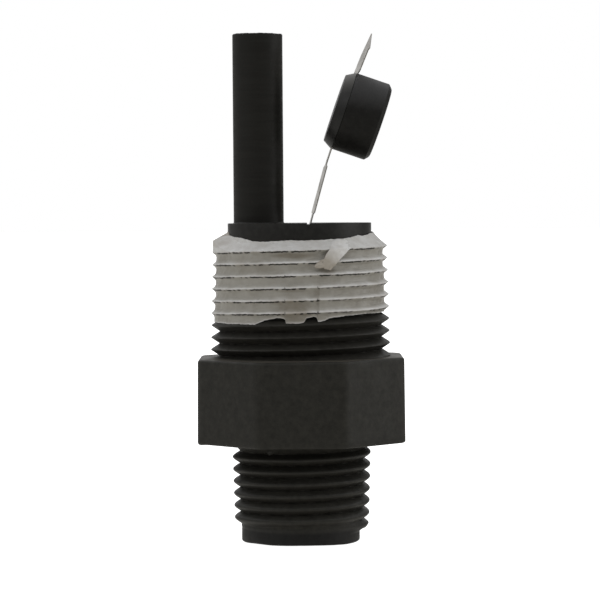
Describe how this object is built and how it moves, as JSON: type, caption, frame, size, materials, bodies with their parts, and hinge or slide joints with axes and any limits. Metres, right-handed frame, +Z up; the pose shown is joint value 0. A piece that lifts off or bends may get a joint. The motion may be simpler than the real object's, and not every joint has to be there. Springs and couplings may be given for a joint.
{
  "type": "paddle switch fitting",
  "caption": "Moulded pipe-thread fitting with a tape-wrapped upper thread, an octagonal wrench body, a sealed reed tube and a magnet puck on a leaf spring that works as a float or flow paddle.",
  "frame": {"origin": "centre of the lower nipple's end face, at the bottom of the part", "axes": "+Z up along the pipe threads' axis, -X towards the reed tube, +X towards the leaf spring's lean"},
  "size_m": [0.0308, 0.0308, 0.0765],
  "materials": {
    "body_plastic": "black moulded plastic, satin, faintly mottled",
    "tube_plastic": "black machined and moulded plastic, semi-gloss",
    "seal_tape": "thin white thread-seal film, greyed where it sinks into the thread",
    "spring_steel": "thin stainless spring strip, satin",
    "pin_steel": "plain steel, satin",
    "capsule_glass": "clear greenish glass",
    "carrier_board": "glass-fibre strip, matte",
    "red_wire": "red insulation",
    "black_wire": "black insulation",
    "compound": "cast sealing compound, dull",
    "terminal_brass": "turned brass",
    "magnet_plate": "nickel plated magnet",
    "pad_foam": "grey closed-cell foam"
  },
  "bodies": {
    "housing": {"fitting_body": "body_plastic", "ptfe_tape": "seal_tape", "reed_tube": "tube_plastic", "tube_end_plug": "tube_plastic", "reed_capsule": "capsule_glass", "reed_upper": "pin_steel", "reed_lower": "pin_steel", "reed_carrier": "carrier_board", "signal_wire": "red_wire", "return_wire": "black_wire", "splice_sleeve": "red_wire", "tube_potting": "compound", "bore_potting": "compound", "terminal_disc": "body_plastic", "terminal_pin_a": "terminal_brass", "terminal_pin_b": "terminal_brass", "blade_root": "spring_steel", "slot_shim": "tube_plastic", "blade_cross_pin": "pin_steel"},
    "paddle": {"spring_blade": "spring_steel", "puck_cap": "tube_plastic", "puck_cup": "tube_plastic", "magnet_pad": "pad_foam", "disc_magnet": "magnet_plate", "puck_pin_front": "pin_steel", "puck_pin_rear": "pin_steel"}
  },
  "joints": [
    {"name": "leaf_flex", "type": "hinge", "parent": "housing", "child": "paddle", "pos_m": [0.00174, 0, 0.048], "axis": [-0.0558, 0.9984, 0], "range_deg": [-23, 15], "stiffness_Nm_per_rad": 0.006, "springref_deg": -1.15}
  ]
}
